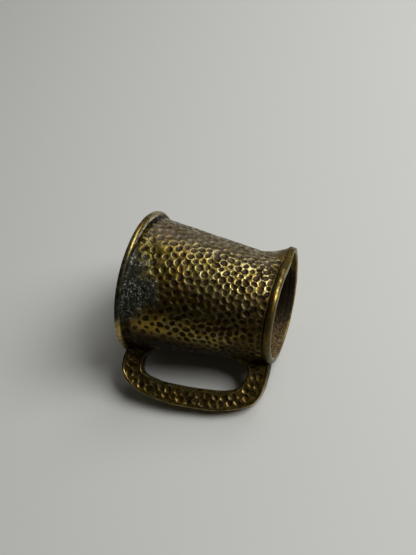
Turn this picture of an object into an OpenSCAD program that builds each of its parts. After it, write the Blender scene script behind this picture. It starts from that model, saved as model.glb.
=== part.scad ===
// Hammered brass cup for pens, shaped like a small tankard: a tapered wall on a flanged
// foot, a beaded mouth pinched into a pouring lip, and a flat D-shaped handle opposite the lip.
// The cup stands on its foot. Z runs up its axis, X points to the handle, millimetres.

/* [Body] */
// Height from the underside of the foot to the top of the mouth
overall_h = 85; // [80:1:95]
// Outer radius of the wall's cone at the underside
wall_foot_r = 39.2; // [37:0.1:42]
// Outer radius of the wall's cone at the top of the mouth
wall_mouth_r = 28.6; // [27:0.1:31]
// Thickness of the wall
wall_t = 2.3; // [1.8:0.1:3]

/* [Foot] */
// How far the foot's flange stands out from the wall's cone
flange_reach = 2.6; // [2:0.1:4]
// Thickness of the foot's flange
flange_t = 3.3; // [2.8:0.1:4]
// Chamfer on the flange's two outer edges
flange_chamfer = 0.6; // [0.3:0.1:1]
// Thickness of the base plate inside the flange
plate_t = 2.6; // [2:0.1:2.8]
// Bare chamfer along the seam between plate and flange
seam_chamfer = 0.3; // [0.2:0.1:0.5]
// Height of the cove between flange and wall
cove_h = 2.8; // [2:0.1:4]

/* [Mouth] */
// Height of the bead round the mouth
bead_h = 4.2; // [3.5:0.1:5]
// How far the bead bulges past the wall's cone
bead_bulge = 1.3; // [0.8:0.1:1.8]
// Depth of the groove under the bead
groove_depth = 0.5; // [0.3:0.1:0.8]
// Chamfer on the mouth's inner edge
mouth_chamfer = 0.7; // [0.4:0.1:1]

/* [Pouring lip] */
// How far the lip reaches out past the bead
lip_reach = 7.6; // [4:0.1:9]
// How far the lip's tip dips below the mouth
lip_dip = 1.2; // [0:0.1:2]
// Angle from the lip's tip to where the mouth is round again
lip_half_angle = 45; // [35:5:60]
// Height at which the wall starts to flare into the lip
lip_start_z = 64; // [55:1:68]

/* [Handle] */
// Greatest distance from the body's line to the handle's outer edge
handle_reach = 29; // [26:1:34]
// Thickness of the handle over its rails
handle_t = 8; // [6:0.5:8.5]
// Thickness of the web between the rails
web_t = 6.4; // [5:0.1:7]
// Width of each rail
rail_w = 1.8; // [1.4:0.1:2.2]
// Width of the two joints that hold the handle to the body
joint_w = 9.6; // [9:0.1:12]

/* [Hidden] */

$fn = 96;
steps_round = 72;           // flat facets round the wall and the mouth
step_a = 360 / steps_round;
path_steps = 6;             // points from one handle control point to the next

wall_color = [0.46, 0.37, 0.17];
bright_color = [0.66, 0.54, 0.26];
dark_color = [0.27, 0.22, 0.13];
handle_color = [0.5, 0.41, 0.2];

foot_r = wall_foot_r + flange_reach;
groove_z = overall_h - bead_h;
groove_shoulder_h = 1;      // height over which the wall narrows into the groove
shoulder_z = groove_z - groove_shoulder_h;
bead_mid_z = overall_h - bead_h / 2;

// Outer radius of the wall's cone at height z
function cone_r(z) = wall_foot_r + (wall_mouth_r - wall_foot_r) * z / overall_h;

groove_r = cone_r(groove_z) - groove_depth;
bead_r = cone_r(bead_mid_z) + bead_bulge;
plate_r = cone_r(flange_t) - wall_t - 0.5;  // the wall's inner edge rests on the flange

// ---- Pouring lip: one rule that bends every outline of the wall and the mouth ----

lip_angle = 180;
lip_full_z = groove_z + 1;  // the flare has reached its full width here
lip_pinch = 1.4;            // above 1 draws the lip to a narrower tip
flare_power = 1.7;          // above 1 starts the flare gently
inner_lag = 0.45;           // the inner face flares this share of the wall's thickness later

// 1 at the lip's tip, 0 where the mouth is round
function lip_share(a) =
    let (off = abs(a - lip_angle))
    off < lip_half_angle ? pow((1 + cos(180 * off / lip_half_angle)) / 2, lip_pinch) : 0;

// 0 below the flare, 1 at the mouth
function flare_share(z) =
    pow(min(1, max(0, (z - lip_start_z) / (lip_full_z - lip_start_z))), flare_power);

// A point [r, z] of the round outline, moved to where it lies at angle a
function bent(a, p) =
    let (
        depth = max(0, cone_r(p[1]) - p[0]),
        s = lip_share(a) * flare_share(p[1] - inner_lag * depth)
    )
    [p[0] + lip_reach * s, p[1] - lip_dip * s];

function turned(a, p) = [p[0] * cos(a), p[0] * sin(a), p[1]];

// Closed ring whose section at every angle is the outline bent by the lip
module lipped_ring(outline) {
    n = len(outline);
    points = [
        for (i = [0 : steps_round - 1], p = outline) turned(i * step_a, bent(i * step_a, p))
    ];
    faces = [
        for (i = [0 : steps_round - 1], k = [0 : n - 1])
            let (
                here = i * n,
                next = ((i + 1) % steps_round) * n,
                up = (k + 1) % n
            )
            each [[here + k, here + up, next + k], [here + up, next + up, next + k]]
    ];
    polyhedron(points = points, faces = faces, convexity = 10);
}

// ---- Body ----

flare_rows = 6;
flare_zs = [for (i = [0 : flare_rows]) lip_start_z + (shoulder_z - lip_start_z) * i / flare_rows];

wall_outer = concat(
    [[cone_r(flange_t), flange_t]],
    [for (z = flare_zs) [cone_r(z), z]],
    [[groove_r, groove_z]]
);
wall_inner = concat(
    [[cone_r(groove_z) - wall_t, groove_z]],
    [for (i = [flare_rows : -1 : 0]) [cone_r(flare_zs[i]) - wall_t, flare_zs[i]]],
    [[cone_r(flange_t) - wall_t, flange_t]]
);

module body_wall() {
    color(wall_color)
        lipped_ring(concat(wall_outer, wall_inner));
}

// Round bead: a half ellipse from the groove to the top of the mouth
bead_steps = 8;
bead_outer = [
    for (i = [0 : bead_steps])
        let (a = -90 + 180 * i / bead_steps)
        [groove_r + (bead_r - groove_r) * cos(a), bead_mid_z + bead_h / 2 * sin(a)]
];
mouth_inner = [
    [cone_r(overall_h) - wall_t + mouth_chamfer, overall_h],
    [cone_r(overall_h) - wall_t, overall_h - mouth_chamfer],
    [cone_r(groove_z) - wall_t, groove_z]
];

module mouth_rim() {
    color(bright_color)
        lipped_ring(concat(bead_outer, mouth_inner));
}

module base_plate() {
    color(dark_color)
        rotate_extrude()
            polygon([
                [0, 0],
                [plate_r - seam_chamfer, 0],
                [plate_r, seam_chamfer],
                [plate_r, plate_t - seam_chamfer],
                [plate_r - seam_chamfer, plate_t],
                [0, plate_t]
            ]);
}

module foot_ring() {
    color(bright_color)
        rotate_extrude()
            polygon([
                [plate_r + seam_chamfer, 0],
                [foot_r - flange_chamfer, 0],
                [foot_r, flange_chamfer],
                [foot_r, flange_t - flange_chamfer],
                [foot_r - flange_chamfer, flange_t],
                [plate_r, flange_t],
                [plate_r, seam_chamfer]
            ]);
}

// Smooth cove in the corner between flange and wall, open where the handle's joint stands
cove_reach = flange_reach - flange_chamfer - 0.4;
cove_steps = 5;
cove_top_z = flange_t + cove_h;
cove_gap_angle = asin(joint_w / 2 / cone_r(cove_top_z));

module foot_cove() {
    hollow = [
        for (i = [0 : cove_steps])
            let (
                a = 90 * i / cove_steps,
                z = cove_top_z - cove_h * cos(a)
            )
            [cone_r(z) + cove_reach * (1 - sin(a)), z]
    ];
    color(dark_color)
        rotate([0, 0, cove_gap_angle])
            rotate_extrude(angle = 360 - 2 * cove_gap_angle)
                polygon(concat([[cone_r(flange_t), flange_t]], hollow));
}

// ---- Handle: two rails and a web in the XZ plane ----

// Control points [share of the reach, share of the height], from the foot to the mouth.
// The first and last only set the direction in which the curve starts and ends.
outer_curve = [
    [-0.2, 0.02], [-0.04, 0.01], [0.06, 0.003], [0.2, 0.0015], [0.42, 0.014], [0.62, 0.068],
    [0.78, 0.155], [0.93, 0.33], [1, 0.55], [0.98, 0.77], [0.8, 0.94], [0.46, 0.99],
    [0.02, 0.992], [-0.2, 0.992]
];
inner_curve = [
    [-0.11, 0.31], [-0.085, 0.245], [-0.03, 0.183], [0.11, 0.141], [0.354, 0.147], [0.46, 0.2],
    [0.55, 0.32], [0.6, 0.55], [0.595, 0.71], [0.537, 0.808], [0.37, 0.852], [0.19, 0.862],
    [0.06, 0.833], [-0.02, 0.76], [-0.066, 0.69], [-0.09, 0.62]
];

// The body's line runs from the flange's edge to the bead's edge; the handle stands off it
function body_line_x(share) = foot_r + (bead_r - foot_r) * share;
function placed(curve) = [for (p = curve) [body_line_x(p[1]) + handle_reach * p[0], overall_h * p[1]]];

// Smooth curve through every point but the first and last (Catmull-Rom)
function between(a, b, c, d, t) =
    (2 * b + (c - a) * t + (2 * a - 5 * b + 4 * c - d) * t * t
        + (3 * b - a - 3 * c + d) * t * t * t) / 2;
function smooth_path(pts) = concat(
    [
        for (i = [1 : len(pts) - 3], k = [0 : path_steps - 1])
            between(pts[i - 1], pts[i], pts[i + 1], pts[i + 2], k / path_steps)
    ],
    [pts[len(pts) - 2]]
);

// The path moved sideways by d, to its left for positive d
function left_of(path, i) =
    let (along = path[min(len(path) - 1, i + 1)] - path[max(0, i - 1)])
    [-along[1], along[0]] / norm(along);
function shifted(path, d) = [for (i = [0 : len(path) - 1]) path[i] + d * left_of(path, i)];
function reversed(list) = [for (i = [len(list) - 1 : -1 : 0]) list[i]];

outer_edge = smooth_path(placed(outer_curve));
inner_edge = smooth_path(placed(inner_curve));
outer_rail_edge = shifted(outer_edge, rail_w);
inner_rail_edge = shifted(inner_edge, -rail_w);

// At both ends the inner edge flares along the wall. Each flare belongs to a joint, and the rails
// and the web start where it ends.
flare_points = 2 * path_steps;
lower_flare = [for (i = [0 : flare_points]) inner_edge[i]];
upper_flare = [for (i = [flare_points : -1 : 0]) inner_edge[len(inner_edge) - 1 - i]];
lower_end_x = lower_flare[flare_points][0];
upper_end_x = upper_flare[0][0];

// Flat bar between two edges of the handle, cut off where its joints and the flange begin
module handle_bar(edge_a, edge_b, thickness) {
    far = 2 * foot_r;
    difference() {
        rotate([90, 0, 0])
            linear_extrude(height = thickness, center = true)
                intersection() {
                    polygon(concat(edge_a, reversed(edge_b)));
                    union() {
                        translate([lower_end_x, flange_t])
                            square([far, overall_h]);
                        translate([upper_end_x, overall_h / 2])
                            square([far, overall_h]);
                        translate([foot_r - 1, 0])
                            square([far, flange_t]);
                    }
                }
        translate([0, 0, -1])
            cylinder(h = flange_t + 1, r = foot_r);
    }
}

module handle_web() {
    color(handle_color)
        handle_bar(outer_rail_edge, inner_rail_edge, web_t);
}

module handle_outer_rail() {
    color(bright_color)
        handle_bar(outer_edge, outer_rail_edge, handle_t);
}

module handle_inner_rail() {
    color(bright_color)
        handle_bar(inner_rail_edge, inner_edge, handle_t);
}

// Root with this outline in the XZ plane, hollowed to sit on the flange, the wall and the bead
module handle_joint(outline) {
    body_outline = concat(
        [[0, 0], [foot_r, 0], [foot_r, flange_t], [cone_r(flange_t), flange_t]],
        [[cone_r(shoulder_z), shoulder_z]],
        bead_outer,
        [[0, overall_h]]
    );
    difference() {
        rotate([90, 0, 0])
            linear_extrude(height = joint_w, center = true)
                polygon(outline);
        rotate_extrude()
            polygon(body_outline);
    }
}

module lower_handle_joint() {
    top_z = lower_flare[0][1];
    color(dark_color)
        handle_joint(concat(
            [[0, flange_t], [lower_end_x, flange_t]],
            reversed(lower_flare),
            [[0, top_z]]
        ));
}

module upper_handle_joint() {
    top_z = bead_mid_z + 0.35 * bead_h;
    low_z = upper_flare[flare_points][1];
    color(dark_color)
        handle_joint(concat(upper_flare, [[0, low_z], [0, top_z], [upper_end_x, top_z]]));
}

body_wall();
base_plate();
foot_ring();
foot_cove();
mouth_rim();
handle_web();
handle_outer_rail();
handle_inner_rail();
lower_handle_joint();
upper_handle_joint();
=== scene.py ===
"""Looks of an antique brass pen cup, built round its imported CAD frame.

The cup's own axis is Z, its handle points along +X and its pouring lip along -X. It lies on a
pale table that touches its foot, its mouth and its handle, and the camera looks down on it.
Lengths are in metres.
"""

import math

import bpy
import numpy as np
from mathutils import Matrix, Vector


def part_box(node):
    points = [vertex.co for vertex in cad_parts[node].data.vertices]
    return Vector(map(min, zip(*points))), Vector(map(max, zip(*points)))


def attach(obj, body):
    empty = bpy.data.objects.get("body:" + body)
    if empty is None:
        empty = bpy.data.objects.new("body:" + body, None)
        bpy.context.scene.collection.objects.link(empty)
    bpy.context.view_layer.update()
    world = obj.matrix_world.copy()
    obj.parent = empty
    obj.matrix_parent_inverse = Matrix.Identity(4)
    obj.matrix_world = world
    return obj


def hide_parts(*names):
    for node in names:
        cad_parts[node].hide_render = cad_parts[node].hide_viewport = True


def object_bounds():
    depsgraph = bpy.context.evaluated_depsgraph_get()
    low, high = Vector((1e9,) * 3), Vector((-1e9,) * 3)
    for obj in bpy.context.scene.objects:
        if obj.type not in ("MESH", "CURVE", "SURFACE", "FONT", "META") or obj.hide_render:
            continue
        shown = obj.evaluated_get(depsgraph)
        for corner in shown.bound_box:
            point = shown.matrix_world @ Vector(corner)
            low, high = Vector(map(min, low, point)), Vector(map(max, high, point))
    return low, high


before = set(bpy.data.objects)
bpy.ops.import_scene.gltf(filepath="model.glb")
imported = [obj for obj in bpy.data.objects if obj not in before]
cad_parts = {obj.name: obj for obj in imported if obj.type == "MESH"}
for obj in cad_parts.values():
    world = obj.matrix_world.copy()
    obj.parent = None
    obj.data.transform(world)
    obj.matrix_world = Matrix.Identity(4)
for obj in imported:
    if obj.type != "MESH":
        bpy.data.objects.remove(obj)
CAD_LOW, CAD_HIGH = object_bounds()
MM = 0.001
SEED = 41

# ---- Sizes, from the frame wherever it has them ------------------------------------------------

LOW = {name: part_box(name)[0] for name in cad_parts}
HIGH = {name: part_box(name)[1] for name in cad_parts}

HEIGHT = HIGH["mouth_rim"].z
FOOT_R = HIGH["foot_ring"].x
FLANGE_T = HIGH["foot_ring"].z
PLATE_R = HIGH["base_plate"].x
GROOVE_Z = HIGH["body_wall"].z
BEAD_R = HIGH["mouth_rim"].y
COVE_TOP_Z = HIGH["foot_cove"].z
HANDLE_T = HIGH["handle_outer_rail"].y - LOW["handle_outer_rail"].y
WEB_T = HIGH["handle_web"].y - LOW["handle_web"].y

WALL_TAPER = 10.6 / 85
WALL_FOOT_R = HIGH["body_wall"].x + WALL_TAPER * FLANGE_T
WALL_T = 2.3 * MM
GROOVE_DEPTH = 0.5 * MM
SHOULDER_H = 1.0 * MM
MOUTH_CHAMFER = 0.7 * MM
MELTED_RISE = 0.35 * MM
RAIL_W = 1.8 * MM

LIP_REACH = -LOW["mouth_rim"].x - BEAD_R
LIP_DIP = 1.2 * MM
LIP_HALF_ANGLE = math.radians(45)
LIP_START_Z = 64 * MM
LIP_FULL_Z = GROOVE_Z + 1.0 * MM
LIP_PINCH = 1.4
FLARE_POWER = 1.7
INNER_LAG = 0.45

BEAD_H = HEIGHT - GROOVE_Z
BEAD_MID_Z = HEIGHT - BEAD_H / 2
SHOULDER_Z = GROOVE_Z - SHOULDER_H


def cone_r(z):
    """Outer radius of the wall's cone at height z."""
    return WALL_FOOT_R - WALL_TAPER * z


def smooth(low, high, x):
    """0 below low, 1 above high, and an S-curve between."""
    t = np.clip((x - low) / (high - low), 0.0, 1.0)
    return t * t * (3.0 - 2.0 * t)


def lip_share(angle):
    """1 at the pouring lip's tip, 0 where the mouth is round."""
    off = np.abs((angle % (2 * math.pi)) - math.pi)
    bump = (1 + np.cos(math.pi * np.minimum(off / LIP_HALF_ANGLE, 1.0))) / 2
    return bump**LIP_PINCH


def flare_share(z):
    """0 below the lip's flare, 1 at the mouth."""
    return np.clip((z - LIP_START_Z) / (LIP_FULL_Z - LIP_START_Z), 0.0, 1.0) ** FLARE_POWER


def bent(angle, r, z):
    """Radius and height of a point of the round outline, moved by the lip at this angle."""
    depth = np.maximum(0.0, cone_r(z) - r)
    share = lip_share(angle) * flare_share(z - INNER_LAG * depth)
    return r + LIP_REACH * share, z - LIP_DIP * share


# ---- Mesh helpers ------------------------------------------------------------------------------


def grid_faces(rows, columns, wrap_rows, wrap_columns):
    """Quads of a grid whose point (row, column) has index row * columns + column."""
    row = np.arange(rows if wrap_rows else rows - 1)
    column = np.arange(columns if wrap_columns else columns - 1)
    row, column = np.meshgrid(row, column, indexing="ij")
    next_row, next_column = (row + 1) % rows, (column + 1) % columns
    corners = (
        row * columns + column,
        next_row * columns + column,
        next_row * columns + next_column,
        row * columns + next_column,
    )
    return np.stack(corners, axis=-1).reshape(-1, 4)


def grid_normals(points, wrap_rows, wrap_columns):
    """Unit normals of a grid of points, turned as grid_faces turns its quads."""

    def along(axis, wrap):
        if wrap:
            return np.roll(points, -1, axis) - np.roll(points, 1, axis)
        return np.gradient(points, axis=axis)

    normals = np.cross(along(0, wrap_rows), along(1, wrap_columns))
    return normals / np.maximum(np.linalg.norm(normals, axis=-1, keepdims=True), 1e-12)


def mesh_object(name, points, faces, fields):
    """Mesh object from vertex positions, quads and named values at the vertices."""
    mesh = bpy.data.meshes.new(name)
    mesh.vertices.add(len(points))
    mesh.vertices.foreach_set("co", points.astype(np.float32).ravel())
    mesh.loops.add(faces.size)
    mesh.loops.foreach_set("vertex_index", faces.astype(np.int32).ravel())
    mesh.polygons.add(len(faces))
    mesh.polygons.foreach_set("loop_start", np.arange(0, faces.size, 4, dtype=np.int32))
    mesh.update(calc_edges=True)
    mesh.validate()
    mesh.shade_smooth()
    for field, values in fields.items():
        layer = mesh.attributes.new(field, "FLOAT", "POINT")
        layer.data.foreach_set("value", np.asarray(values, dtype=np.float32).ravel())
    made = bpy.data.objects.new(name, mesh)
    bpy.context.scene.collection.objects.link(made)
    return made


def add_piece(name, node, slot, material, points, wrap=(True, True), **fields):
    """A piece made from a grid of points, which stands for one CAD node."""
    rows, columns = points.shape[:2]
    faces = grid_faces(rows, columns, *wrap)
    made = mesh_object(name, points.reshape(-1, 3), faces, fields)
    made.data.materials.append(material)
    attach(made, "root")
    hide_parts(node)
    return made


def ring_points(angles, outline):
    """Grid of points: the outline [(r, z), ...] swept round the axis and bent by the lip."""
    angle = angles[:, None]
    r, z = bent(angle, outline[None, :, 0], outline[None, :, 1])
    z = z * np.ones_like(angle)
    return np.stack([r * np.cos(angle), r * np.sin(angle), z], axis=-1)


def arc(centre, radii, start, stop, steps):
    """Points of an elliptical arc in the (r, z) plane, angles in degrees."""
    a = np.radians(np.linspace(start, stop, steps))
    return np.stack([centre[0] + radii[0] * np.cos(a), centre[1] + radii[1] * np.sin(a)], axis=-1)


def steps_between(start, stop, spacing):
    """Evenly spaced numbers from start to stop, about spacing apart."""
    return np.linspace(start, stop, max(2, round(abs(stop - start) / spacing) + 1))


def wave_noise(positions, scale, seed, waves=24):
    """Smooth random field, about -1 to 1: a sum of waves with random directions."""
    rng = np.random.default_rng(seed)
    directions = rng.normal(size=(waves, positions.shape[-1]))
    directions /= np.linalg.norm(directions, axis=1, keepdims=True)
    lengths = scale * rng.uniform(0.6, 1.8, waves)
    phases = rng.uniform(0, 2 * math.pi, waves)
    total = np.zeros(positions.shape[:-1])
    for direction, length, phase in zip(directions, lengths, phases):
        total += np.sin(2 * math.pi * (positions @ direction) / length + phase)
    return total / math.sqrt(waves)


def lumps(points, height, size, seed):
    """Unevenness about height deep and size across, at the given points."""
    return height * wave_noise(points, size, seed)


def facing_out(points, normals):
    """The bar's points and normals, turned over if its normals point at its middle."""
    middle = points.mean(axis=1, keepdims=True)
    if (normals * (points - middle)).sum() < 0:
        return points[:, ::-1].copy(), -normals[:, ::-1]
    return points, normals


# ---- Punch marks -------------------------------------------------------------------------------

PIT_R = (1.40 * MM, 2.15 * MM)
PIT_RIM_H = 0.06 * MM
PIT_WARP_SIZE = 3.2 * MM

# Counted in radii of the mark. The floor and the mark itself fade out between two radii.
PIT_DEPTH = 0.25
PIT_REACH = 1.5
PIT_WARP = 0.09
PIT_RIM_AT = 1.12
PIT_RIM_W = 0.17
PIT_EDGE = (0.78, 1.05)
PIT_FLOOR_EDGE = (0.35, 0.85)

# A higher power gives a flatter floor and steeper sides
BOWL_POWER = 3.2

# How scattered marks are pushed apart: this many times, by this share of how far they overlap
RELAX_STEPS = 24
RELAX_PUSH = 0.3


class PunchedField:
    """Punch marks gathered at the points of a grid. depth and rim are in metres, mark and floor
    are shares from 0 to 1, and warp is the noise that makes the marks uneven."""

    def __init__(self, warp):
        shape = warp.shape
        self.warp = warp
        self.depth = np.zeros(shape)
        self.rim = np.zeros(shape)
        self.mark = np.zeros(shape)
        self.floor = np.zeros(shape)

    def punch(self, where, a, b, radius, depth, stretch, turn):
        """Adds one mark. a and b are the distances from its centre at the points in where."""
        along = a * math.cos(turn) + b * math.sin(turn)
        across = b * math.cos(turn) - a * math.sin(turn)
        u = np.sqrt((along / (radius * stretch)) ** 2 + (across * stretch / radius) ** 2)
        u = u * (1.0 + PIT_WARP * self.warp[where])
        bowl = depth * np.clip(1.0 - u**BOWL_POWER, 0.0, None)
        rim = PIT_RIM_H * np.exp(-(((u - PIT_RIM_AT) / PIT_RIM_W) ** 2))
        self.depth[where] = np.maximum(self.depth[where], bowl)
        self.rim[where] = np.maximum(self.rim[where], rim)
        self.mark[where] = np.maximum(self.mark[where], 1.0 - smooth(*PIT_EDGE, u))
        self.floor[where] = np.maximum(self.floor[where], 1.0 - smooth(*PIT_FLOOR_EDGE, u))

    def height(self):
        """How far the surface stands above its plain shape."""
        return self.rim * (1.0 - smooth(0.0, 0.3, self.mark)) - self.depth

    def ridge(self):
        """1 on the crests between the marks, where hands polish them."""
        return self.rim / PIT_RIM_H * (1.0 - self.mark)


def random_mark(rng, size=1.0):
    """Radius, depth, stretch and turn of one hand-struck mark."""
    radius = rng.uniform(*PIT_R) * size
    depth = radius * PIT_DEPTH * rng.uniform(0.6, 1.25)
    stretch = rng.uniform(1.0, 1.25)
    turn = rng.uniform(0, math.pi)
    return radius, depth, stretch, turn


def scattered(rng, count, wrap_x, top_y, spacing):
    """Random places on a strip that wraps in x, pushed apart until they are evenly crowded."""
    places = np.stack([rng.uniform(0, wrap_x, count), rng.uniform(0, top_y, count)], axis=1)
    for _ in range(RELAX_STEPS):
        gap = places[:, None, :] - places[None, :, :]
        gap[..., 0] -= wrap_x * np.round(gap[..., 0] / wrap_x)
        distance = np.linalg.norm(gap, axis=-1) + 1e-9
        push = np.clip(1.0 - distance / spacing, 0.0, None) * RELAX_PUSH * spacing
        np.fill_diagonal(push, 0.0)
        places += (gap / distance[..., None] * push[..., None]).sum(axis=1)
        places[:, 0] %= wrap_x
        places[:, 1] = np.clip(places[:, 1], 0, top_y)
    return places


# ---- Body --------------------------------------------------------------------------------------

AROUND = 480
ANGLES = np.arange(AROUND) * (2 * math.pi / AROUND)
MARK_LOW_Z = COVE_TOP_Z + 0.2 * MM
MARK_HIGH_Z = SHOULDER_Z - 1.1 * MM

# Area of wall to each mark, and how far apart two marks have to be
MARK_AREA = 18.2 * MM * MM
MARK_SPACING = 5.0 * MM

# Distance between the grid's rows outside and inside
GRID_STEP = 0.46 * MM
INNER_GRID_STEP = 3.2 * MM

# Where the wall has no marks: on the line under the handle, beside the roots, and on the lip
BARE_LINE_W = 1.0 * MM
BARE_ROOT_W = 7.5 * MM
BARE_LIP_SHARE = 0.16


def wall_marks(angle, z, warp):
    """Punch marks on the wall, at the grid of angles and heights."""
    rng = np.random.default_rng(SEED)
    mid_r = float(cone_r((MARK_LOW_Z + MARK_HIGH_Z) / 2))
    around = 2 * math.pi * mid_r
    tall = MARK_HIGH_Z - MARK_LOW_Z
    count = round(around * tall / MARK_AREA)
    places = scattered(rng, count, around, tall, MARK_SPACING)
    field = PunchedField(warp)
    for x, y in places:
        radius, depth, stretch, turn = random_mark(rng)
        centre_a, centre_z = x / mid_r, MARK_LOW_Z + y
        near_handle = min(centre_a, 2 * math.pi - centre_a) * cone_r(centre_z)
        on_root = centre_z < HIGH["lower_handle_joint"].z or centre_z > LOW["upper_handle_joint"].z
        on_lip = lip_share(np.array(centre_a)) * flare_share(np.array(centre_z)) > BARE_LIP_SHARE
        beside_root = on_root and near_handle < BARE_ROOT_W
        if on_lip or beside_root or near_handle < BARE_LINE_W + radius:
            continue
        reach = PIT_REACH * radius * stretch
        rows = np.flatnonzero(np.abs(z[0] - centre_z) < reach)
        turn_off = (angle[:, 0] - centre_a + math.pi) % (2 * math.pi) - math.pi
        columns = np.flatnonzero(np.abs(turn_off) * cone_r(centre_z) < reach)
        where = np.ix_(columns, rows)
        a = turn_off[columns][:, None] * cone_r(z[0, rows])[None, :]
        b = (z[0, rows] - centre_z)[None, :] * np.ones_like(a)
        field.punch(where, a, b, radius, depth, stretch, turn)
    return field


def wall_outlines():
    """The wall's section as three (r, z) outlines: its outside going up, the groove under the
    bead, and its inside going down."""
    z = steps_between(FLANGE_T, SHOULDER_Z, GRID_STEP)
    outside = np.stack([cone_r(z), z], axis=-1)
    groove = [
        (cone_r(SHOULDER_Z + 0.35 * MM) - 0.08 * MM, SHOULDER_Z + 0.35 * MM),
        (cone_r(GROOVE_Z) - GROOVE_DEPTH + 0.12 * MM, GROOVE_Z - 0.25 * MM),
        (cone_r(GROOVE_Z) - GROOVE_DEPTH - 0.1 * MM, GROOVE_Z + 0.1 * MM),
    ]
    z = steps_between(GROOVE_Z, FLANGE_T, INNER_GRID_STEP)
    inside = np.stack([cone_r(z) - WALL_T, z], axis=-1)
    return outside, np.array(groove), inside


def lip_melt():
    """How far the bead and its groove have melted away at each angle: 1 at the lip's tip."""
    return lip_share(ANGLES)[:, None, None] ** 0.4


def make_wall(material):
    """Tapered wall: punched outside, left rough as it was cast inside, and drawn out to the lip."""
    outside, groove, inside = wall_outlines()
    points = ring_points(ANGLES, np.concatenate([outside, groove, inside]))
    shallow = np.stack([cone_r(groove[:, 1]), groove[:, 1]], axis=-1)
    melted = slice(len(outside), len(outside) + len(groove))
    points[:, melted] += (ring_points(ANGLES, shallow) - points[:, melted]) * lip_melt()
    normals = grid_normals(points, True, True)
    outer = slice(0, len(outside))
    angle, z = np.meshgrid(ANGLES, outside[:, 1], indexing="ij")
    field = wall_marks(angle, z, wave_noise(points[:, outer], PIT_WARP_SIZE, SEED + 9))
    height = field.height() + lumps(points[:, outer], 0.10 * MM, 9 * MM, SEED + 1)
    fade = smooth(FLANGE_T, MARK_LOW_Z, z) * (1 - smooth(MARK_HIGH_Z, SHOULDER_Z, z))
    height = np.where(field.mark > 0, height, height * fade)
    points[:, outer] += normals[:, outer] * height[..., None]
    rough_cast = slice(len(outside) + len(groove) + 1, points.shape[1] - 1)
    grain = lumps(points[:, rough_cast], 0.09 * MM, 3.5 * MM, SEED + 2)
    points[:, rough_cast] += normals[:, rough_cast] * grain[..., None]
    pit, floor, ridge, within = (np.zeros(points.shape[:2]) for _ in range(4))
    pit[:, outer], floor[:, outer], ridge[:, outer] = field.mark, field.floor, field.ridge()
    within[:, len(outside) + len(groove) :] = 1.0
    lip = lip_share(ANGLES)[:, None] * flare_share(points[..., 2])
    return add_piece(
        "wall_hammered", "body_wall", "hammered_wall", material, points,
        pit=pit, floor=floor, ridge=ridge, within=within, lip=lip,
    )


def make_rim(material):
    """Bead round the mouth. It melts into a plain rounded edge along the pouring lip."""
    centre_r = cone_r(GROOVE_Z) - GROOVE_DEPTH
    bead = arc((centre_r, BEAD_MID_Z), (BEAD_R - centre_r, BEAD_H / 2), -90, 62, 20)
    inner_r, chamfer_z = cone_r(HEIGHT) - WALL_T, HEIGHT - MOUTH_CHAMFER
    top = arc((inner_r + MOUTH_CHAMFER, chamfer_z), (MOUTH_CHAMFER, MOUTH_CHAMFER), 90, 180, 7)
    down = np.array([0.35, 0.7, 1.0])
    inner_z = chamfer_z - (BEAD_H - MOUTH_CHAMFER) * down
    inner = np.stack([inner_r + WALL_TAPER * BEAD_H * down, inner_z], axis=-1)
    outline = np.concatenate([bead, top, inner])
    points = ring_points(ANGLES, outline)
    plain_r = np.minimum(outline[:, 0], cone_r(outline[:, 1]) + MELTED_RISE)
    plain = np.stack([plain_r, outline[:, 1]], axis=-1)
    points = points + (ring_points(ANGLES, plain) - points) * lip_melt()
    normals = grid_normals(points, True, True)
    points += normals * lumps(points, 0.05 * MM, 5 * MM, SEED + 3)[..., None]
    edge = np.zeros(points.shape[:2])
    edge[:, len(bead) : len(bead) + len(top)] = 1.0
    within = np.zeros(points.shape[:2])
    within[:, len(bead) + len(top) - 1 :] = 1.0
    lip = np.repeat(lip_share(ANGLES)[:, None], len(outline), axis=1)
    return add_piece(
        "mouth_bead", "mouth_rim", "worn_rim", material, points,
        edge=edge, within=within, lip=lip,
    )


def make_foot(material):
    """Flange round the foot, with worn, slightly uneven edges."""
    seam_bevel, low_bevel, high_bevel = 0.3 * MM, 0.75 * MM, 1.5 * MM
    inner = PLATE_R + 0.02 * MM
    under_wall = cone_r(FLANGE_T) - 0.5 * MM
    outline = np.concatenate([
        arc((inner + seam_bevel, seam_bevel), (seam_bevel, seam_bevel), 180, 270, 4),
        arc((FOOT_R - low_bevel, low_bevel), (low_bevel, low_bevel), 270, 360, 9),
        arc((FOOT_R - high_bevel, FLANGE_T - high_bevel), (high_bevel, high_bevel), 0, 90, 9),
        np.array([(under_wall, FLANGE_T), (inner, FLANGE_T)]),
    ])
    points = ring_points(ANGLES, outline)
    radius = np.linalg.norm(points[..., :2], axis=-1)[..., None]
    outward = points * np.array([1.0, 1.0, 0.0]) / radius
    wobble = lumps(points, 0.07 * MM, 14 * MM, SEED + 4) - 0.07 * MM
    points += outward * np.where(points[..., 2] > 0, wobble, 0.0)[..., None]
    return add_piece("foot_flange", "foot_ring", "worn_rim", material, points)


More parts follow.
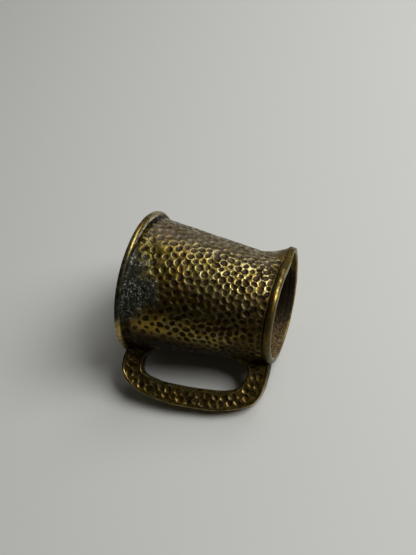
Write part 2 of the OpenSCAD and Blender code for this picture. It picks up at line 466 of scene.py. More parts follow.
def make_cove(material):
    """Smooth fillet of braze between the flange and the wall."""
    reach = 1.6 * MM
    sunk = 0.3 * MM
    rise = COVE_TOP_Z - FLANGE_T
    a = np.radians(np.linspace(0, 90, 9))
    z = COVE_TOP_Z - rise * np.cos(a)
    hollow = np.stack([cone_r(z) + reach * (1 - np.sin(a)), z], axis=-1)
    hollow[-1, 0] -= 0.06 * MM
    back = [(cone_r(z) - sunk, z) for z in (COVE_TOP_Z, FLANGE_T)]
    outline = np.concatenate([hollow, np.array(back)])
    points = ring_points(ANGLES, outline)
    normals = grid_normals(points, True, True)
    in_sight = np.arange(len(outline)) < len(hollow) - 1
    points += normals * (lumps(points, 0.07 * MM, 5 * MM, SEED + 5) * in_sight)[..., None]
    points[..., 2] = np.maximum(points[..., 2], FLANGE_T)
    return add_piece("foot_fillet", "foot_cove", "braze", material, points)


# ---- Handle ------------------------------------------------------------------------------------

# Control points [share of the reach, share of the height], from the foot to the mouth, as in the
# CAD model. The first and last only set the direction in which the curve starts and ends.
HANDLE_REACH = 29 * MM
OUTER_CURVE = [
    (-0.2, 0.02), (-0.04, 0.01), (0.06, 0.003), (0.2, 0.0015), (0.42, 0.014), (0.62, 0.068),
    (0.78, 0.155), (0.93, 0.33), (1, 0.55), (0.98, 0.77), (0.8, 0.94), (0.46, 0.99), (0.02, 0.992),
    (-0.2, 0.992),
]
INNER_CURVE = [
    (-0.11, 0.31), (-0.085, 0.245), (-0.03, 0.183), (0.11, 0.141), (0.354, 0.147), (0.46, 0.2),
    (0.55, 0.32), (0.6, 0.55), (0.595, 0.71), (0.537, 0.808), (0.37, 0.852), (0.19, 0.862),
    (0.06, 0.833), (-0.02, 0.76), (-0.066, 0.69), (-0.09, 0.62),
]
PATH_STEPS = 28
FLARE_STEPS = 2 * PATH_STEPS
ALONG_HANDLE = 320
ACROSS_WEB = 30
RAIL_BEVEL = 0.72 * MM

# The web's faces stand this far out from the CAD node's, and the marks are sunk into them
WEB_LIFT = 0.45 * MM

# Two rows of marks, at these shares of the web's width, that take turns along the handle
WEB_ROWS = (0.66, 0.34)
WEB_MARK_STEP = 2.35 * MM
WEB_MARK_SIZE = 1.1

# Places on the two curves that face each other across the web, counted in control points
WEB_STATIONS = (
    (0, 0), (1, 1), (2, 2), (4, 3), (5, 4), (6, 5), (7, 6), (8, 7), (9, 8.5), (10, 10), (11, 13),
)


def handle_path(curve):
    """Smooth curve in the XZ plane through all but the first and last control points."""
    shares = np.array(curve)
    line_x = FOOT_R + (BEAD_R - FOOT_R) * shares[:, 1]
    pts = np.stack([line_x + HANDLE_REACH * shares[:, 0], HEIGHT * shares[:, 1]], axis=-1)
    t = (np.arange(PATH_STEPS) / PATH_STEPS)[:, None]
    parts = []
    for a, b, c, d in zip(pts, pts[1:], pts[2:], pts[3:]):
        square = (2 * a - 5 * b + 4 * c - d) * t**2
        cubic = (3 * b - a - 3 * c + d) * t**3
        parts.append((2 * b + (c - a) * t + square + cubic) / 2)
    return np.concatenate([*parts, pts[-2:-1]])


def at_places(path, places):
    """Points of the path at the given places, counted in its points."""
    return np.stack([np.interp(places, np.arange(len(path)), path[:, k]) for k in (0, 1)], axis=-1)


def path_lengths(path):
    """Length of the path up to each of its points."""
    return np.concatenate([[0], np.cumsum(np.linalg.norm(np.diff(path, axis=0), axis=1))])


def evenly(path, count):
    """The path resampled to points an equal distance apart."""
    lengths = path_lengths(path)
    places = np.interp(np.linspace(0, lengths[-1], count), lengths, np.arange(len(path)))
    return at_places(path, places)


def left_of(path):
    """Unit vectors to the left of the path."""
    along = np.gradient(path, axis=0)
    along /= np.linalg.norm(along, axis=1, keepdims=True)
    return np.stack([-along[:, 1], along[:, 0]], axis=-1)


OUTER_PATH = evenly(handle_path(OUTER_CURVE), ALONG_HANDLE)
INNER_PATH = evenly(handle_path(INNER_CURVE), ALONG_HANDLE)


def rounded_bar(width, thickness, radius):
    """Closed outline (d, y) of a bar with round corners: d from 0 to width, y across it."""
    near, far = radius, width - radius
    y = thickness / 2 - radius
    corners = ((far, y, 0), (near, y, 90), (near, -y, -180), (far, -y, -90))
    parts = [arc((d, y), (radius, radius), start, start + 90, 6) for d, y, start in corners]
    return np.concatenate(parts)


def make_rail(name, node, path, side, material):
    """Rail that runs along one edge of the handle and bulges a little past the web's faces."""
    section = rounded_bar(RAIL_W, HANDLE_T, RAIL_BEVEL)
    left = left_of(path) * side
    flat = path[:, None, :] + left[:, None, :] * section[None, :, :1]
    across = np.broadcast_to(section[:, 1], flat.shape[:2])
    points = np.stack([flat[..., 0], across, flat[..., 1]], axis=-1)
    points, normals = facing_out(points, grid_normals(points, False, True))
    dents = lumps(points, 0.09 * MM, 6 * MM, SEED + 6 + len(name)) - 0.05 * MM
    points += normals * dents[..., None]
    return add_piece(name, node, "worn_rim", material, points, wrap=(False, True))


def web_edges(count):
    """Points of the web's outer and inner edge that face each other, evenly along the handle."""
    stations = np.array(WEB_STATIONS) * PATH_STEPS
    fine = np.linspace(0, len(stations) - 1, 2000)
    edges = [
        at_places(handle_path(curve), np.interp(fine, np.arange(len(stations)), stations[:, side]))
        for side, curve in enumerate((OUTER_CURVE, INNER_CURVE))
    ]
    lengths = path_lengths((edges[0] + edges[1]) / 2)
    places = np.interp(np.linspace(0, lengths[-1], count), lengths, np.arange(len(fine)))
    outer, inner = (at_places(edge, places) for edge in edges)
    return outer, inner, lengths[-1]


def web_marks(flat, length):
    """Two staggered rows of large punch marks along the handle."""
    rng = np.random.default_rng(SEED + 20)
    field = PunchedField(wave_noise(flat, PIT_WARP_SIZE, SEED + 10))
    rows, columns = flat.shape[:2]
    for k in range(1, int(length / WEB_MARK_STEP)):
        along = (k * WEB_MARK_STEP + rng.uniform(-0.4, 0.4) * MM) / length * (rows - 1)
        across = (WEB_ROWS[k % 2] + rng.uniform(-0.04, 0.04)) * (columns - 1)
        place = flat[round(along), round(across)]
        gap = flat - place
        radius, depth, stretch, turn = random_mark(rng, WEB_MARK_SIZE)
        near = np.nonzero(np.linalg.norm(gap, axis=-1) < PIT_REACH * radius * stretch)
        field.punch(near, gap[near][:, 0], gap[near][:, 1], radius, depth, stretch, turn)
    return field


def make_web(material):
    """Flat of the handle: two punched faces whose edges are hidden under the rails."""
    outer, inner, length = web_edges(ALONG_HANDLE)
    tuck = 0.9 * MM
    width = np.linalg.norm(inner - outer, axis=1)[:, None]
    across = tuck / width + (1 - 2 * tuck / width) * np.linspace(0.0, 1.0, ACROSS_WEB)
    flat = outer[:, None, :] + (inner - outer)[:, None, :] * across[..., None]
    field = web_marks(flat, length)
    half = WEB_T / 2 + WEB_LIFT + field.height()
    front = np.stack([flat[..., 0], -half, flat[..., 1]], axis=-1)
    back = np.stack([flat[..., 0], half, flat[..., 1]], axis=-1)[:, ::-1]
    points = np.concatenate([front, back], axis=1)
    points[..., 1] += lumps(points, 0.1 * MM, 5 * MM, SEED + 8)
    pit, floor, ridge = (
        np.concatenate([share, share[:, ::-1]], axis=1)
        for share in (field.mark, field.floor, field.ridge())
    )
    normals = grid_normals(points, False, True)
    if normals[:, ACROSS_WEB // 2, 1].sum() > 0:
        points, pit, floor, ridge = (grid[:, ::-1].copy() for grid in (points, pit, floor, ridge))
    return add_piece(
        "handle_hammered", "handle_web", "hammered_handle", material, points, (False, True),
        pit=pit, floor=floor, ridge=ridge,
    )


# The handle's roots: how they run into wall and web, how much wider they get at the wall, how
# hollow their curves are, and how square their section is
UNDER_RAIL = 0.5 * MM
ROOT_SUNK = 0.5 * MM
ROOT_PAST_WEB = 0.6 * MM
ROOT_OVER_WEB = 0.3 * MM
ROOT_SPREAD = 2.4 * MM
ROOT_HOLLOW = 2.2
UPPER_ROOT_HOLLOW = 1.1
ROOT_SQUARENESS = 0.45


def make_joint(name, node, material):
    """Root of the handle: from the web it spreads out to the wall in hollow curves."""
    low, high = LOW[node], HIGH[node]
    inner = handle_path(INNER_CURVE)
    out = np.linspace(0.0, 1.0, 16)
    if high.z < HEIGHT / 2:
        web_z = inner[FLARE_STEPS][1] - UNDER_RAIL
        top = web_z + (high.z - web_z) * (1.0 - out) ** ROOT_HOLLOW
        bottom = np.full_like(out, low.z)
    else:
        web_z = inner[-1 - FLARE_STEPS][1] + UNDER_RAIL
        top = np.full_like(out, high.z)
        bottom = web_z - (web_z - low.z) * (1.0 - out) ** UPPER_ROOT_HOLLOW
    turn = np.linspace(0.0, 2 * math.pi, 64, endpoint=False)
    y_half = WEB_T / 2 + ROOT_OVER_WEB + ROOT_SPREAD * (1.0 - out) ** ROOT_HOLLOW
    y = y_half[:, None] * np.sign(np.cos(turn)) * np.abs(np.cos(turn)) ** ROOT_SQUARENESS
    share = 0.5 + 0.5 * np.sign(np.sin(turn)) * np.abs(np.sin(turn)) ** ROOT_SQUARENESS
    z = bottom[:, None] + (top - bottom)[:, None] * share
    wall_x = np.sqrt((cone_r(np.minimum(z, SHOULDER_Z)) - ROOT_SUNK) ** 2 - y**2)
    x = wall_x + (high.x + ROOT_PAST_WEB - wall_x) * out[:, None]
    points = np.stack([x, y, z], axis=-1)
    points, normals = facing_out(points, grid_normals(points, False, True))
    points += normals * lumps(points, 0.12 * MM, 4 * MM, SEED + 30)[..., None]
    points[..., 2] = np.maximum(points[..., 2], FLANGE_T)
    return add_piece(name, node, "braze", material, points, wrap=(False, True))


# ---- Materials ---------------------------------------------------------------------------------


class Nodes:
    """Small helper that adds and links shader nodes."""

    def __init__(self, name):
        self.material = bpy.data.materials.new(name)
        self.material.use_nodes = True
        self.tree = self.material.node_tree
        self.tree.nodes.clear()
        self.output = self.tree.nodes.new("ShaderNodeOutputMaterial")
        self.shader = self.tree.nodes.new("ShaderNodeBsdfPrincipled")
        self.link(self.shader.outputs["BSDF"], self.output.inputs["Surface"])
        self.place = self.tree.nodes.new("ShaderNodeTexCoord").outputs["Object"]

    def link(self, source, socket):
        self.tree.links.new(source, socket)

    def feed(self, socket, value):
        if isinstance(value, (int, float, tuple)):
            socket.default_value = value
        else:
            self.link(value, socket)

    def field(self, name):
        """The named value that the mesh holds at its vertices."""
        node = self.tree.nodes.new("ShaderNodeAttribute")
        node.attribute_name = name
        return node.outputs["Fac"]

    def math(self, kind, a, b):
        node = self.tree.nodes.new("ShaderNodeMath")
        node.operation = kind
        self.feed(node.inputs[0], a)
        self.feed(node.inputs[1], b)
        return node.outputs[0]

    def times(self, a, b):
        return self.math("MULTIPLY", a, b)

    def most(self, value, *others):
        """The largest of the values."""
        for other in others:
            value = self.math("MAXIMUM", value, other)
        return value

    def ramp(self, value, low, high, start=0.0, stop=1.0):
        """S-curve from start, where the value is low, to stop, where it is high."""
        node = self.tree.nodes.new("ShaderNodeMapRange")
        node.interpolation_type = "SMOOTHSTEP"
        self.feed(node.inputs["Value"], value)
        node.inputs["From Min"].default_value = low
        node.inputs["From Max"].default_value = high
        node.inputs["To Min"].default_value = start
        node.inputs["To Max"].default_value = stop
        return node.outputs["Result"]

    def noise(self, size, detail=3.0, rough=0.55, distortion=0.0):
        """Noise with features about size metres across."""
        node = self.tree.nodes.new("ShaderNodeTexNoise")
        self.link(self.place, node.inputs["Vector"])
        node.inputs["Scale"].default_value = 1.0 / size
        node.inputs["Detail"].default_value = detail
        node.inputs["Roughness"].default_value = rough
        node.inputs["Distortion"].default_value = distortion
        return node.outputs["Fac"]

    def clouds(self, size, start, stop):
        """A value that drifts between start and stop in clouds about size metres across."""
        return self.ramp(self.noise(size), 0.3, 0.7, start, stop)

    def cells(self, size):
        """Distance to the nearest of many random points about size metres apart."""
        node = self.tree.nodes.new("ShaderNodeTexVoronoi")
        self.link(self.place, node.inputs["Vector"])
        node.inputs["Scale"].default_value = 1.0 / size
        return node.outputs["Distance"]

    def mix(self, share, a, b):
        node = self.tree.nodes.new("ShaderNodeMix")
        node.data_type = "RGBA"
        self.feed(node.inputs["Factor"], share)
        for socket, value in ((node.inputs[6], a), (node.inputs[7], b)):
            self.feed(socket, (*value, 1.0) if isinstance(value, tuple) else value)
        return node.outputs[2]

    def mix_value(self, share, a, b):
        node = self.tree.nodes.new("ShaderNodeMix")
        node.data_type = "FLOAT"
        self.feed(node.inputs["Factor"], share)
        self.feed(node.inputs[2], a)
        self.feed(node.inputs[3], b)
        return node.outputs[0]

    def distance_from(self, point):
        """Distance from a point of the cup, in metres."""
        node = self.tree.nodes.new("ShaderNodeVectorMath")
        node.operation = "DISTANCE"
        self.link(self.place, node.inputs[0])
        node.inputs[1].default_value = point
        return node.outputs["Value"]

    def axis(self, name):
        """Place along one of the cup's axes, in metres."""
        node = self.tree.nodes.new("ShaderNodeSeparateXYZ")
        self.link(self.place, node.inputs[0])
        return node.outputs[name]

    def bump(self, height, distance, strength=1.0, under=None):
        node = self.tree.nodes.new("ShaderNodeBump")
        self.link(height, node.inputs["Height"])
        node.inputs["Distance"].default_value = distance
        node.inputs["Strength"].default_value = strength
        if under is not None:
            self.link(under, node.inputs["Normal"])
        return node.outputs["Normal"]

    def finish(self, colour, rough, metal, normal):
        self.feed(self.shader.inputs["Base Color"], colour)
        self.feed(self.shader.inputs["Roughness"], rough)
        self.feed(self.shader.inputs["Metallic"], metal)
        self.link(normal, self.shader.inputs["Normal"])
        return self.material


# Colours, as linear red, green and blue
POLISHED = (0.55, 0.46, 0.215)
OLIVE = (0.155, 0.118, 0.018)
GOLDEN = (0.23, 0.138, 0.014)
# The two patina colours below also colour the painted shade and the painted dark band
PATINA_AND_SHADE = (0.0085, 0.0046, 0.0010)
BROWN_PATINA_AND_SHADE = (0.026, 0.015, 0.006)
PIT_FLOOR = (0.060, 0.043, 0.028)
RUST = (0.105, 0.058, 0.018)
SOOT = (0.012, 0.0135, 0.0105)
GREY_CRUST = (0.036, 0.038, 0.024)
ASH = (0.31, 0.34, 0.29)
DUST = (0.20, 0.17, 0.13)
CHALK = (0.60, 0.60, 0.56)
WORN_EDGE = (0.30, 0.29, 0.24)
CAST_DARK = (0.022, 0.013, 0.004)
CAST_LIGHT = (0.23, 0.155, 0.065)
# CAST_SHADE is painted shadow for the inside's upper part
CAST_SHADE = (0.015, 0.0075, 0.0018)
PLATE_DARK = (0.15, 0.115, 0.06)
PLATE_LIGHT = (0.33, 0.26, 0.12)
TABLE_PALE = (0.60, 0.605, 0.585, 1.0)
ROOM_WARM = (0.90, 0.80, 0.66, 1.0)

# Roughness where there is grime and where shade is painted, and of the inside
DIRTY_ROUGH = 0.55
INSIDE_ROUGH = 0.9

# Where the dark, ash-specked stain lies: on the wall near the foot, on the side that shows
STAIN_PLACES = ((0.001, -0.0385, 0.004), (0.017, -0.0345, 0.003), (0.008, -0.0370, 0.010))
STAIN_R = 0.0145

# Painted shade round the two roots of the handle, where handle and wall meet, and a painted dark
# reflection in a band along the middle of the side that shows, which goes on under the bead beside
# the handle
ROOT_SHADE_PLACES = ((0.0400, 0.0, 0.0080), (0.0310, 0.0, 0.0780))
BAND_REFLECTION_PLACES = (
    (0.0100, -0.0360, 0.022), (0.0090, -0.0345, 0.036),
    (0.0105, -0.0320, 0.050), (0.0120, -0.0290, 0.064),
)
MOUTH_REFLECTION_PLACES = (
    (0.0240, -0.0190, 0.0720), (0.0140, -0.0270, 0.0770),
    (0.0050, -0.0295, 0.0760), (0.0290, -0.0120, 0.0660),
)

# Middle of the chalky line in the corner between flange and wall
CHALK_PLACE = (-0.031, -0.024, 0.004)
CHALK_R = 0.021


def near_places(n, places, radius, ragged_by):
    """1 near any of the places, with a ragged edge."""
    reach = n.distance_from(places[0])
    for place in places[1:]:
        reach = n.math("MINIMUM", reach, n.distance_from(place))
    ragged = n.times(n.math("SUBTRACT", n.noise(0.010, 4.0, 0.65), 0.5), ragged_by)
    return n.ramp(n.math("ADD", reach, ragged), radius * 1.1, radius * 0.45)


def stain_share(n):
    """1 in the middle of the dark stain."""
    return near_places(n, STAIN_PLACES, STAIN_R, 0.018)


def ash_share(n):
    """Small pale specks of ash and verdigris, for use inside the stain."""
    dots = n.ramp(n.cells(0.0013), 0.56, 0.24)
    specks = n.times(dots, n.ramp(n.noise(0.0024, 4.0, 0.75), 0.42, 0.58))
    clumps = n.ramp(n.noise(0.007, 2.0, 0.5), 0.30, 0.64, 0.0, 0.85)
    return n.times(specks, clumps)


def stained(n, colour, ash):
    """The colour under the soot of the stain and its specks of ash."""
    crust = n.mix(n.ramp(n.noise(0.0030, 4.0, 0.7), 0.42, 0.66), SOOT, GREY_CRUST)
    sooty = n.mix(n.times(stain_share(n), 0.93), colour, crust)
    return n.mix(ash, sooty, ASH)


def grime_and_painted_shade(n, size):
    """Cloudy grime, with painted shade round the handle's roots and a painted dark reflection in
    the band and under the bead.
    """
    cloud = n.times(n.ramp(n.noise(size, 4.0, 0.62), 0.47, 0.70), 0.8)
    # band and mouth: painted dark reflection; roots: painted shade
    band = n.times(near_places(n, BAND_REFLECTION_PLACES, 0.0150, 0.014), 0.80)
    roots = n.times(near_places(n, ROOT_SHADE_PLACES, 0.016, 0.010), 0.9)
    mouth = n.times(near_places(n, MOUTH_REFLECTION_PLACES, 0.013, 0.012), 0.75)
    return n.most(cloud, mouth, band, roots)


def tarnished_brass(n, bright):
    """Cloudy tarnish between olive and golden brown, worn through to polished brass where the
    given share is high."""
    tarnish = n.ramp(n.noise(0.020, 3.0, 0.6, 0.4), 0.40, 0.62)
    worn = n.ramp(n.noise(0.0035, 5.0, 0.72), 0.38, 0.62)
    return n.mix(n.times(bright, worn), n.mix(tarnish, OLIVE, GOLDEN), POLISHED)


def cast_colour_and_shadow(n):
    """Grainy brown of the inside, left as it was cast, with painted shadow that darkens it towards
    the lip, where the inside's upper part lies in shade.
    """
    grain = n.mix(n.ramp(n.noise(0.0016, 4.0, 0.75), 0.35, 0.65), CAST_DARK, CAST_LIGHT)
    return n.mix(n.ramp(n.axis("X"), 14 * MM, -6 * MM, 0.0, 0.93), grain, CAST_SHADE)


def table_side_painted_shade(n):
    """Painted shade: the wall darkened on the side that lies towards the table, under the handle,
    and in a strip low along the foot, in the corner by the flange.
    """
    low = n.ramp(n.axis("Z"), COVE_TOP_Z + 4.5 * MM, COVE_TOP_Z + 1.0 * MM)
    strip = n.times(low, n.ramp(n.axis("X"), 8 * MM, 20 * MM, 0.0, 0.9))
    return n.most(strip, n.ramp(n.axis("X"), 25 * MM, 32 * MM, 0.0, 0.97))


def polish_and_painted_highlight(n):
    """Worn polish on the wall, less under the handle. Its rise from the foot to the mouth is
    painted highlight: the wall is made brighter where its reflection of the light is strongest.
    """
    along = n.ramp(n.axis("Z"), 12 * MM, 64 * MM, 0.5, 1.45)
    return n.times(along, n.ramp(n.axis("X"), 24 * MM, -2 * MM, 0.30, 1.0))


def groove_darkening_left(n, lip):
    """Share of the darkening under the bead that is left, as the bead melts into the lip."""
    return n.ramp(lip, 0.35, 0.0, 0.0, 0.9)


def wall_pit_and_shade_tone(n):
    """Colour in the marks, also used for the painted shade and painted dark band on the wall: near
    black, with caked dirt on some floors, painted pale on the lip's side, which lies uppermost and
    faces the lights, and near black towards the table.
    """
    dark = n.mix(n.ramp(n.noise(0.004), 0.35, 0.65), PATINA_AND_SHADE, BROWN_PATINA_AND_SHADE)
    # Painted light: the caked floors go pale towards the side that faces the lights
    floor_dirt_and_painted_light = n.mix(n.ramp(n.axis("X"), 14 * MM, -10 * MM, 0.2, 1.0), PATINA_AND_SHADE, PIT_FLOOR)
    caked = n.times(n.field("floor"), n.ramp(n.noise(0.0022), 0.35, 0.62))
    return n.mix(caked, dark, floor_dirt_and_painted_light)


def wall_dirt_and_shade(n, pit, lip):
    """Dirt and painted shade on the wall: dirt in its marks and on the lip, darker in the groove,
    painted shade on the table side under the handle and round the handle's roots, and the painted
    dark band.
    """
    smooth_lip = n.times(n.ramp(lip, 0.10, 0.35), 0.28)
    groove = n.ramp(n.axis("Z"), SHOULDER_Z - 1.6 * MM, GROOVE_Z - 0.4 * MM)
    groove = n.times(groove, groove_darkening_left(n, lip))
    in_pits = n.times(pit, n.ramp(n.noise(0.007), 0.30, 0.60, 0.78, 1.0))
    # This grime includes painted shade at the roots and a painted dark reflection band
    grime_and_shade = grime_and_painted_shade(n, 0.011)
    # The table-side term is painted shade on the wall under the handle
    return n.most(in_pits, grime_and_shade, table_side_painted_shade(n), smooth_lip, groove)


def lip_film(n):
    """Pale film of dust on the wall below the lip."""
    film = n.times(n.ramp(n.axis("X"), -14 * MM, -30 * MM), n.clouds(0.006, 0.25, 0.65))
    return n.times(film, n.ramp(n.axis("Z"), SHOULDER_Z, SHOULDER_Z - 7 * MM, 0.15, 1.0))


def finish_cast(n, colour, rough, metal, fine, rough_cast, within):
    """Finishes a material whose inside is matt and as coarse as it was cast."""
    coarse = n.times(n.noise(0.0013, 4.0, 0.7), rough_cast)
    rough = n.mix_value(within, rough, INSIDE_ROUGH)
    return n.finish(colour, rough, metal, n.bump(coarse, 0.0012, 0.8, fine))


def hammered_brass(name):
    """Wall: worn ridges, dark pits, the stain near the foot and a rough inside, with painted shade
    on the table side, at the handle's roots and in the inside's upper part, a painted dark band
    along the middle, and polish painted brighter towards the mouth as highlight.
    """
    n = Nodes(name)
    pit = n.field("pit")
    within = n.field("within")
    dirt_and_shade = wall_dirt_and_shade(n, pit, n.field("lip"))
    # bright: worn ridges, scaled by the painted highlight towards the mouth
    bright = n.times(n.math("ADD", n.times(n.field("ridge"), 0.7), 0.25), polish_and_painted_highlight(n))
    # The dark pit tone fills the marks and also the painted shade and painted dark band
    colour = n.mix(dirt_and_shade, tarnished_brass(n, bright), wall_pit_and_shade_tone(n))
    dust = n.times(n.times(pit, n.ramp(n.noise(0.0022, 2.0), 0.60, 0.78)), 0.3)
    film = lip_film(n)
    colour = n.mix(n.most(dust, film), colour, DUST)
    stain = stain_share(n)
    ash = n.times(stain, ash_share(n))
    colour = n.mix(within, stained(n, colour, ash), cast_colour_and_shadow(n))
    rough = n.mix_value(n.most(dirt_and_shade, stain, within), n.clouds(0.003, 0.22, 0.36), DIRTY_ROUGH)
    matt = n.most(ash, n.times(stain, 0.15), n.times(film, 0.7), n.times(within, 0.35))
    metal = n.mix_value(matt, 1.0, 0.1)
    fine = n.bump(n.noise(0.0009, 3.0, 0.6), 0.00016, 0.6)
    return finish_cast(n, colour, rough, metal, fine, n.most(stain, within), within)


def smooth_brass(name, wear):
    """Flange and rails: smooth brass with cloudy tarnish and grime, painted shade near the handle's
    roots, and polished in places.
    """
    n = Nodes(name)
    # Grime, with painted shade near the handle's roots
    grime_and_shade = grime_and_painted_shade(n, 0.007)
    colour = n.mix(grime_and_shade, tarnished_brass(n, wear), PATINA_AND_SHADE)
    stain = stain_share(n)
    ash = n.times(n.times(stain, ash_share(n)), 0.3)
    colour = stained(n, colour, ash)
    rough = n.mix_value(n.most(grime_and_shade, stain), n.clouds(0.0025, 0.22, 0.36), DIRTY_ROUGH)
    metal = n.mix_value(ash, 1.0, 0.1)
    return n.finish(colour, rough, metal, n.bump(n.noise(0.0011, 4.0, 0.6), 0.00012, 0.6))


def rim_brass(name):
    """Mouth bead: as the other smooth brass, with a pale worn line where it turns inwards. The
    line fades on the side turned away, which is cleaner, and the lip is smooth inside too."""
    n = Nodes(name)
    lip = n.field("lip")
    near_side = n.ramp(n.axis("Y"), -6 * MM, 12 * MM, 1.0, 0.0)
    clouds = n.times(n.ramp(n.noise(0.006, 4.0, 0.6), 0.44, 0.68), 0.8)
    low = n.ramp(n.axis("Z"), GROOVE_Z + 1.0 * MM, GROOVE_Z + 0.1 * MM)
    under = n.times(low, groove_darkening_left(n, lip))
    handle_side = n.ramp(n.axis("X"), -8 * MM, 6 * MM, 0.0, 0.65)
    browned = n.most(clouds, n.times(lip, 0.45), under, handle_side)
    browned = n.times(browned, n.math("ADD", n.times(near_side, 0.45), 0.55))
    colour = n.mix(browned, tarnished_brass(n, 0.28), BROWN_PATINA_AND_SHADE)
    pale = n.times(n.ramp(n.field("edge"), 0.7, 0.95), n.ramp(n.noise(0.003), 0.25, 0.55))
    pale = n.times(pale, near_side)
    colour = n.mix(n.times(pale, 0.6), colour, WORN_EDGE)
    within = n.times(n.field("within"), n.ramp(lip, 0.55, 0.10))
    # The inside takes the cast colour with its painted shadow towards the lip
    colour = n.mix(within, colour, cast_colour_and_shadow(n))
    rough = n.mix_value(browned, n.clouds(0.0025, 0.26, 0.40), DIRTY_ROUGH)
    metal = n.mix_value(n.most(pale, within), 1.0, 0.28)
    fine = n.bump(n.noise(0.0011, 4.0, 0.6), 0.00012, 0.6)
    return finish_cast(n, colour, rough, metal, fine, within, within)


def punched_handle(name):
    """Handle's flat: large dark pits with ridges between, patches of grey dust, and painted shade
    near the roots.
    """
    n = Nodes(name)
    pit_and_shade_tone = n.mix(n.ramp(n.noise(0.0030, 4.0, 0.65), 0.42, 0.66), PATINA_AND_SHADE, RUST)
    pit_and_shade_tone = n.mix(n.times(n.field("floor"), 0.2), pit_and_shade_tone, PIT_FLOOR)
    in_pits = n.times(n.field("pit"), n.ramp(n.noise(0.005), 0.3, 0.6, 0.6, 0.95))
    # The grime term adds painted shade near the handle's roots, coloured with the pit tone
    dirt_and_shade = n.most(in_pits, n.times(grime_and_painted_shade(n, 0.006), 0.85), 0.12)
    bright = n.math("ADD", n.times(n.field("ridge"), 0.75), 0.12)
    colour = n.mix(dirt_and_shade, tarnished_brass(n, bright), pit_and_shade_tone)
    dusty_places = n.ramp(n.noise(0.012, 2.0), 0.44, 0.60)
    dust = n.times(n.ramp(n.noise(0.0017, 3.0, 0.7), 0.56, 0.72), dusty_places)
    colour = n.mix(n.times(dust, 0.5), colour, ASH)
    rough = n.mix_value(dirt_and_shade, n.clouds(0.003, 0.24, 0.38), DIRTY_ROUGH)
    metal = n.mix_value(dust, 1.0, 0.4)
    fine = n.bump(n.noise(0.0009, 3.0, 0.6), 0.00010, 0.55)
    return n.finish(colour, rough, metal, n.bump(n.noise(0.0022, 4.0, 0.7), 0.0005, 0.5, fine))


def dark_joint(name, chalky):
    """Fillets and roots: tarnished nearly black, some with a broken line of pale residue."""
    n = Nodes(name)
    colour = n.mix(n.ramp(n.noise(0.005, 4.0, 0.6), 0.44, 0.76, 0.0, 0.7), PATINA_AND_SHADE, OLIVE)
    stain = stain_share(n)
    colour = stained(n, colour, n.times(stain, ash_share(n)))
    line = n.ramp(n.axis("Z"), FLANGE_T + 0.42 * MM, FLANGE_T + 0.12 * MM)
    broken = n.times(line, n.ramp(n.noise(0.003, 4.0, 0.7), 0.36, 0.58, 0.0, 0.8))
    chalk = n.times(n.times(broken, near_places(n, (CHALK_PLACE,), CHALK_R, 0.012)), chalky)
    colour = n.mix(chalk, colour, CHALK)
    metal = n.mix_value(n.most(chalk, n.times(stain, 0.15)), 1.0, 0.0)
    uneven = n.bump(n.noise(0.0014, 4.0, 0.65), 0.00025, 0.6)
    return n.finish(colour, n.clouds(0.004, 0.42, 0.62), metal, uneven)


def underside_brass(name):
    """Base plate: dull brown patina over faint turning rings."""
    n = Nodes(name)
    wave = n.tree.nodes.new("ShaderNodeTexWave")
    n.link(n.place, wave.inputs["Vector"])
    wave.wave_type = "RINGS"
    wave.rings_direction = "Z"
    wave.inputs["Scale"].default_value = 260.0
    wave.inputs["Distortion"].default_value = 1.2
    colour = n.mix(n.ramp(n.noise(0.012, 4.0, 0.65), 0.35, 0.68), PLATE_DARK, PLATE_LIGHT)
    colour = n.mix(n.ramp(n.noise(0.004, 4.0, 0.6), 0.56, 0.74), colour, PATINA_AND_SHADE)
    rings = n.bump(wave.outputs["Fac"], 0.00006, 0.7)
    uneven = n.bump(n.noise(0.0015, 4.0), 0.00015, 0.5, rings)
    return n.finish(colour, n.clouds(0.005, 0.38, 0.6), 0.85, uneven)


# ---- Table, camera and lights ------------------------------------------------------------------


def table_plane():
    """Unit normal into the table, and its distance from the origin.

    The cup rests on its flange, its mouth bead and the far edge of its handle. Two touch points
    on round rims fix the plane's slope along the axis, and the handle's edge fixes its turn."""
    foot_z = 1.0 * MM
    slope = math.atan2(FOOT_R - BEAD_R, BEAD_MID_Z - foot_z)
    flat, steep = math.cos(slope), math.sin(slope)
    offset = FOOT_R * flat + foot_z * steep
    side = np.full(len(OUTER_PATH), HANDLE_T / 2)
    edge = np.stack([OUTER_PATH[:, 0], side, OUTER_PATH[:, 1]], axis=-1)
    for turn in np.radians(np.arange(30.0, 90.0, 0.05)):
        normal = np.array([math.cos(turn) * flat, math.sin(turn) * flat, steep])
        if (edge @ normal).max() <= offset:
            return Vector(normal), offset
    raise ValueError("the cup does not come to rest on its handle")


INTO_TABLE, TABLE_OFFSET = table_plane()

TABLE_HALF_SIZE = 2.5

# Camera: angles in degrees, lens and sensor in millimetres
CAMERA_AZIMUTH = 5.4
CAMERA_ELEVATION = 15.8
CAMERA_ROLL = 102.3
CAMERA_DISTANCE = 0.424
CAMERA_AIM = Vector((-0.0095, -0.0032, 0.0381))
LENS = 48.0
SENSOR = 36.0

# Lights: name, place (right, away, up) from the middle of the cup, size, watts and colour
LIGHTS = (
    ("window", (0.99, -0.34, 1.13), (0.9, 0.8), 22.8, (1.0, 0.998, 0.985)),
    ("ceiling", (0.72, 0.51, 0.98), (0.54, 0.44), 3.8, (1.0, 0.995, 0.98)),
    ("far_wall", (-0.1, 1.25, 0.60), (1.8, 0.6), 0.6, (1.0, 0.995, 0.98)),
)
ROOM_STRENGTH = 0.03


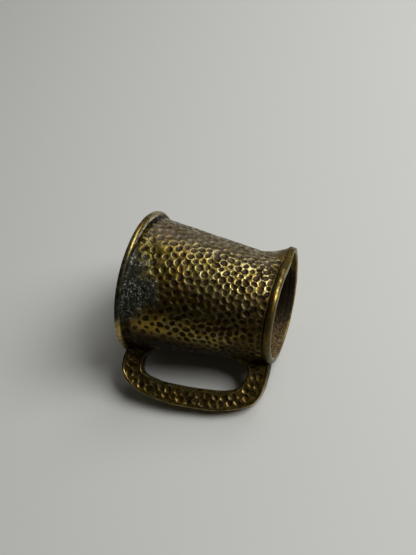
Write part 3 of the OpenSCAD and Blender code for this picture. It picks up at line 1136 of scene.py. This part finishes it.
def camera_axes():
    """Right, up and back directions of the camera."""
    a, e = math.radians(CAMERA_AZIMUTH), math.radians(CAMERA_ELEVATION)
    back = Vector((math.sin(a) * math.cos(e), -math.cos(a) * math.cos(e), math.sin(e)))
    level = Vector((0, 0, 1)).cross(back).normalized()
    upright = back.cross(level)
    roll = math.radians(CAMERA_ROLL)
    right = level * math.cos(roll) + upright * math.sin(roll)
    return right, back.cross(right), back


def make_camera():
    """Camera that looks at the lying cup as the photo does."""
    right, up, back = camera_axes()
    data = bpy.data.cameras.new("camera")
    data.lens = LENS
    data.sensor_width = SENSOR
    camera = bpy.data.objects.new("camera", data)
    turn = Matrix((right, up, back)).transposed().to_4x4()
    camera.matrix_world = Matrix.Translation(CAMERA_AIM + back * CAMERA_DISTANCE) @ turn
    data.clip_start, data.clip_end = 0.01, 20.0
    bpy.context.scene.collection.objects.link(camera)
    bpy.context.scene.camera = camera


def table_axes():
    """Directions on the table as the camera sees it: to the right, away from it, and up."""
    up = -INTO_TABLE
    back = camera_axes()[2]
    away = (-back + up * back.dot(up)).normalized()
    return away.cross(up), away, up


def table_material():
    """Pale matt table. It is clear from below, so that it never hides the cup."""
    n = Nodes("table_top")
    n.shader.inputs["Base Color"].default_value = TABLE_PALE
    n.shader.inputs["Roughness"].default_value = 0.75
    clear = n.tree.nodes.new("ShaderNodeBsdfTransparent")
    side = n.tree.nodes.new("ShaderNodeNewGeometry").outputs["Backfacing"]
    pick = n.tree.nodes.new("ShaderNodeMixShader")
    n.link(side, pick.inputs[0])
    n.link(n.shader.outputs["BSDF"], pick.inputs[1])
    n.link(clear.outputs[0], pick.inputs[2])
    n.link(pick.outputs[0], n.output.inputs["Surface"])
    return n.material


def make_table():
    """Square table top, with its edges far out of sight."""
    right, away, _ = table_axes()
    right, away = right * TABLE_HALF_SIZE, away * TABLE_HALF_SIZE
    centre = INTO_TABLE * TABLE_OFFSET
    corners = (-right - away, right - away, right + away, -right + away)
    mesh = bpy.data.meshes.new("table")
    mesh.from_pydata([tuple(centre + corner) for corner in corners], [], [(0, 1, 2, 3)])
    mesh.materials.append(table_material())
    table = bpy.data.objects.new("table", mesh)
    bpy.context.scene.collection.objects.link(table)


def area_light(name, place, size, watts, colour):
    """Soft rectangular light that shines at the middle of the cup."""
    right, away, up = table_axes()
    middle = (CAD_LOW + CAD_HIGH) / 2
    offset = right * place[0] + away * place[1] + up * place[2]
    data = bpy.data.lights.new(name, "AREA")
    data.shape = "RECTANGLE"
    data.size, data.size_y = size
    data.energy = watts
    data.color = colour
    lamp = bpy.data.objects.new(name, data)
    shine = offset.normalized()
    across = (right - shine * right.dot(shine)).normalized()
    turn = Matrix((across, shine.cross(across), shine)).transposed().to_4x4()
    lamp.matrix_world = Matrix.Translation(middle + offset) @ turn
    bpy.context.scene.collection.objects.link(lamp)


def make_lights():
    """The area lights, and a faint warm light from the room all round."""
    for light in LIGHTS:
        area_light(*light)
    world = bpy.data.worlds.new("room")
    world.use_nodes = True
    ground = world.node_tree.nodes["Background"]
    ground.inputs["Color"].default_value = ROOM_WARM
    ground.inputs["Strength"].default_value = ROOM_STRENGTH
    bpy.context.scene.world = world
    bpy.context.scene.view_settings.view_transform = "Standard"


# ---- Everything together -----------------------------------------------------------------------


def main():
    """Makes every piece, then the table, the lights and the camera."""
    rail = smooth_brass("rail_brass", 0.55)
    joint = dark_joint("joint_dark", 0.0)
    make_wall(hammered_brass("wall_brass"))
    make_rim(rim_brass("bead_brass"))
    make_foot(smooth_brass("flange_brass", 0.75))
    make_cove(dark_joint("fillet_dark", 0.95))
    make_rail("rail_outer", "handle_outer_rail", OUTER_PATH, 1, rail)
    make_rail("rail_inner", "handle_inner_rail", INNER_PATH, -1, rail)
    make_web(punched_handle("web_brass"))
    make_joint("root_lower", "lower_handle_joint", joint)
    make_joint("root_upper", "upper_handle_joint", joint)
    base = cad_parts["base_plate"]
    base.data.materials.clear()
    base.data.materials.append(underside_brass("plate_brass"))
    make_table()
    make_lights()
    make_camera()


main()
